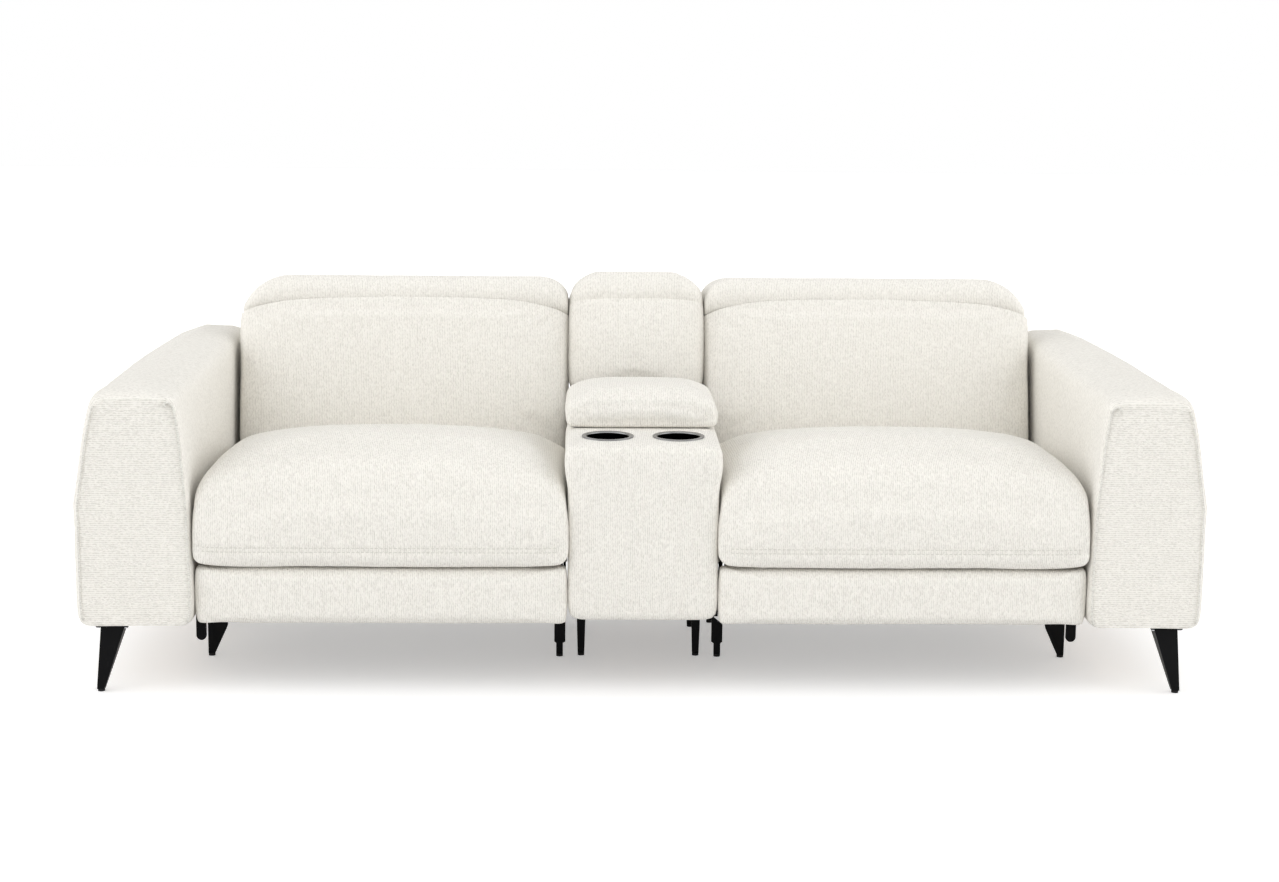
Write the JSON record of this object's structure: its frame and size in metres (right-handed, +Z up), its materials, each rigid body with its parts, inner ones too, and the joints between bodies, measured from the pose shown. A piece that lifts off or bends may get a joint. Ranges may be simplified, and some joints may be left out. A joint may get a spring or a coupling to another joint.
{
  "type": "reclining sofa with console",
  "caption": "Power reclining sofa with a fixed cup holder console, footrests, leaning backrests and flip-up headrests.",
  "frame": {"origin": "on the floor under the middle of the sofa's bounding box", "axes": "+X to the viewer's right when facing the seats, +Y to the back, +Z up"},
  "size_m": [2.2, 0.96, 0.7477],
  "materials": {
    "fabric": "woven chenille",
    "leg_steel": "satin black",
    "mechanism_steel": "satin black",
    "bright_steel": "zinc plated",
    "cup_steel": "brushed",
    "timber": "raw plywood",
    "plastic": "moulded"
  },
  "bodies": {
    "root": {"arm_legs": "leg_steel", "connector_brackets": "mechanism_steel", "console_back_cushion": "fabric", "console_back_frame": "timber", "console_box": "timber", "console_cover": "fabric", "console_legs": "leg_steel", "console_rear_panel": "fabric", "control_plates": "plastic", "cross_tubes": "mechanism_steel", "gear_motors": "plastic", "glides": "plastic", "left_arm_cover": "fabric", "left_arm_frame": "timber", "left_cup_holder": "cup_steel", "left_seat_cushion": "fabric", "left_seat_frame": "timber", "left_side_plates": "mechanism_steel", "lid_hinge": "bright_steel", "power_inlet": "plastic", "right_arm_cover": "fabric", "right_arm_frame": "timber", "right_cup_holder": "cup_steel", "right_seat_cushion": "fabric", "right_seat_frame": "timber", "right_side_plates": "mechanism_steel", "screws": "bright_steel", "seat_legs": "leg_steel", "seat_springs": "bright_steel"},
    "left_drive": {"left_drive_links": "mechanism_steel"},
    "left_front_link": {"left_front_links": "mechanism_steel"},
    "left_guide": {"left_guide_links": "mechanism_steel"},
    "left_control": {"left_control_links": "mechanism_steel"},
    "left_footrest": {"left_footrest_board": "timber", "left_footrest_pad": "fabric"},
    "left_back": {"left_back_frame": "timber", "left_back_cushion": "fabric", "left_back_shell": "fabric"},
    "left_headrest": {"left_headrest_frame": "mechanism_steel", "left_headrest_pad": "fabric"},
    "left_open_button": {"left_open_button": "bright_steel"},
    "left_close_button": {"left_close_button": "bright_steel"},
    "right_drive": {"right_drive_links": "mechanism_steel"},
    "right_front_link": {"right_front_links": "mechanism_steel"},
    "right_guide": {"right_guide_links": "mechanism_steel"},
    "right_control": {"right_control_links": "mechanism_steel"},
    "right_footrest": {"right_footrest_board": "timber", "right_footrest_pad": "fabric"},
    "right_back": {"right_back_frame": "timber", "right_back_cushion": "fabric", "right_back_shell": "fabric"},
    "right_headrest": {"right_headrest_frame": "mechanism_steel", "right_headrest_pad": "fabric"},
    "right_open_button": {"right_open_button": "bright_steel"},
    "right_close_button": {"right_close_button": "bright_steel"},
    "lid": {"lid_board": "timber", "lid_pad": "fabric"}
  },
  "joints": [
    {"name": "left_footrest_drive", "type": "hinge", "parent": "root", "child": "left_drive", "pos_m": [-0.5085, -0.3043, 0.2197], "axis": [-1, 0, 0], "range_deg": [0, 130.2]},
    {"name": "left_front_link_turn", "type": "hinge", "parent": "left_drive", "child": "left_front_link", "pos_m": [-0.5085, -0.17343, 0.10594], "axis": [-1, 0, 0], "range_deg": [-127.12, 0]},
    {"name": "left_guide_turn", "type": "hinge", "parent": "root", "child": "left_guide", "pos_m": [-0.5085, -0.3607, 0.2638], "axis": [-1, 0, 0], "range_deg": [0, 125.5]},
    {"name": "left_control_turn", "type": "hinge", "parent": "left_guide", "child": "left_control", "pos_m": [-0.5085, -0.2132, 0.10643], "axis": [-1, 0, 0], "range_deg": [-112.67, 0]},
    {"name": "left_footrest_turn", "type": "hinge", "parent": "left_front_link", "child": "left_footrest", "pos_m": [-0.5085, -0.3797, 0.22647], "axis": [-1, 0, 0], "range_deg": [0, 86.75]},
    {"name": "left_back_recline", "type": "hinge", "parent": "root", "child": "left_back", "pos_m": [-0.5085, 0.15, 0.3], "axis": [-1, 0, 0], "range_deg": [0, 30]},
    {"name": "left_headrest_lift", "type": "hinge", "parent": "left_back", "child": "left_headrest", "pos_m": [-0.5085, 0.24, 0.699], "axis": [1, 0, 0], "range_deg": [0, 72]},
    {"name": "left_open_press", "type": "slide", "parent": "root", "child": "left_open_button", "axis": [1, 0, 0], "range_m": [0, 0.0012], "stiffness_N_per_m": 800, "springref_m": -0.0004},
    {"name": "left_close_press", "type": "slide", "parent": "root", "child": "left_close_button", "axis": [1, 0, 0], "range_m": [0, 0.0012], "stiffness_N_per_m": 800, "springref_m": -0.0004},
    {"name": "right_footrest_drive", "type": "hinge", "parent": "root", "child": "right_drive", "pos_m": [0.5085, -0.3043, 0.2197], "axis": [-1, 0, 0], "range_deg": [0, 130.2]},
    {"name": "right_front_link_turn", "type": "hinge", "parent": "right_drive", "child": "right_front_link", "pos_m": [0.5085, -0.17343, 0.10594], "axis": [-1, 0, 0], "range_deg": [-127.12, 0]},
    {"name": "right_guide_turn", "type": "hinge", "parent": "root", "child": "right_guide", "pos_m": [0.5085, -0.3607, 0.2638], "axis": [-1, 0, 0], "range_deg": [0, 125.5]},
    {"name": "right_control_turn", "type": "hinge", "parent": "right_guide", "child": "right_control", "pos_m": [0.5085, -0.2132, 0.10643], "axis": [-1, 0, 0], "range_deg": [-112.67, 0]},
    {"name": "right_footrest_turn", "type": "hinge", "parent": "right_front_link", "child": "right_footrest", "pos_m": [0.5085, -0.3797, 0.22647], "axis": [-1, 0, 0], "range_deg": [0, 86.75]},
    {"name": "right_back_recline", "type": "hinge", "parent": "root", "child": "right_back", "pos_m": [0.5085, 0.15, 0.3], "axis": [-1, 0, 0], "range_deg": [0, 30]},
    {"name": "right_headrest_lift", "type": "hinge", "parent": "right_back", "child": "right_headrest", "pos_m": [0.5085, 0.24, 0.699], "axis": [1, 0, 0], "range_deg": [0, 72]},
    {"name": "right_open_press", "type": "slide", "parent": "root", "child": "right_open_button", "axis": [-1, 0, 0], "range_m": [0, 0.0012], "stiffness_N_per_m": 800, "springref_m": -0.0004},
    {"name": "right_close_press", "type": "slide", "parent": "root", "child": "right_close_button", "axis": [-1, 0, 0], "range_m": [0, 0.0012], "stiffness_N_per_m": 800, "springref_m": -0.0004},
    {"name": "lid_lift", "type": "hinge", "parent": "root", "child": "lid", "pos_m": [0, 0.057, 0.508], "axis": [-1, 0, 0], "range_deg": [0, 80]}
  ],
  "couplings": [
    {"joint": "left_front_link_turn", "follows": "left_footrest_drive", "ratio": -0.97633},
    {"joint": "left_guide_turn", "follows": "left_footrest_drive", "ratio": 0.96385},
    {"joint": "left_control_turn", "follows": "left_footrest_drive", "ratio": -0.86534},
    {"joint": "left_footrest_turn", "follows": "left_footrest_drive", "ratio": 0.66627},
    {"joint": "right_front_link_turn", "follows": "right_footrest_drive", "ratio": -0.97633},
    {"joint": "right_guide_turn", "follows": "right_footrest_drive", "ratio": 0.96385},
    {"joint": "right_control_turn", "follows": "right_footrest_drive", "ratio": -0.86534},
    {"joint": "right_footrest_turn", "follows": "right_footrest_drive", "ratio": 0.66627}
  ]
}
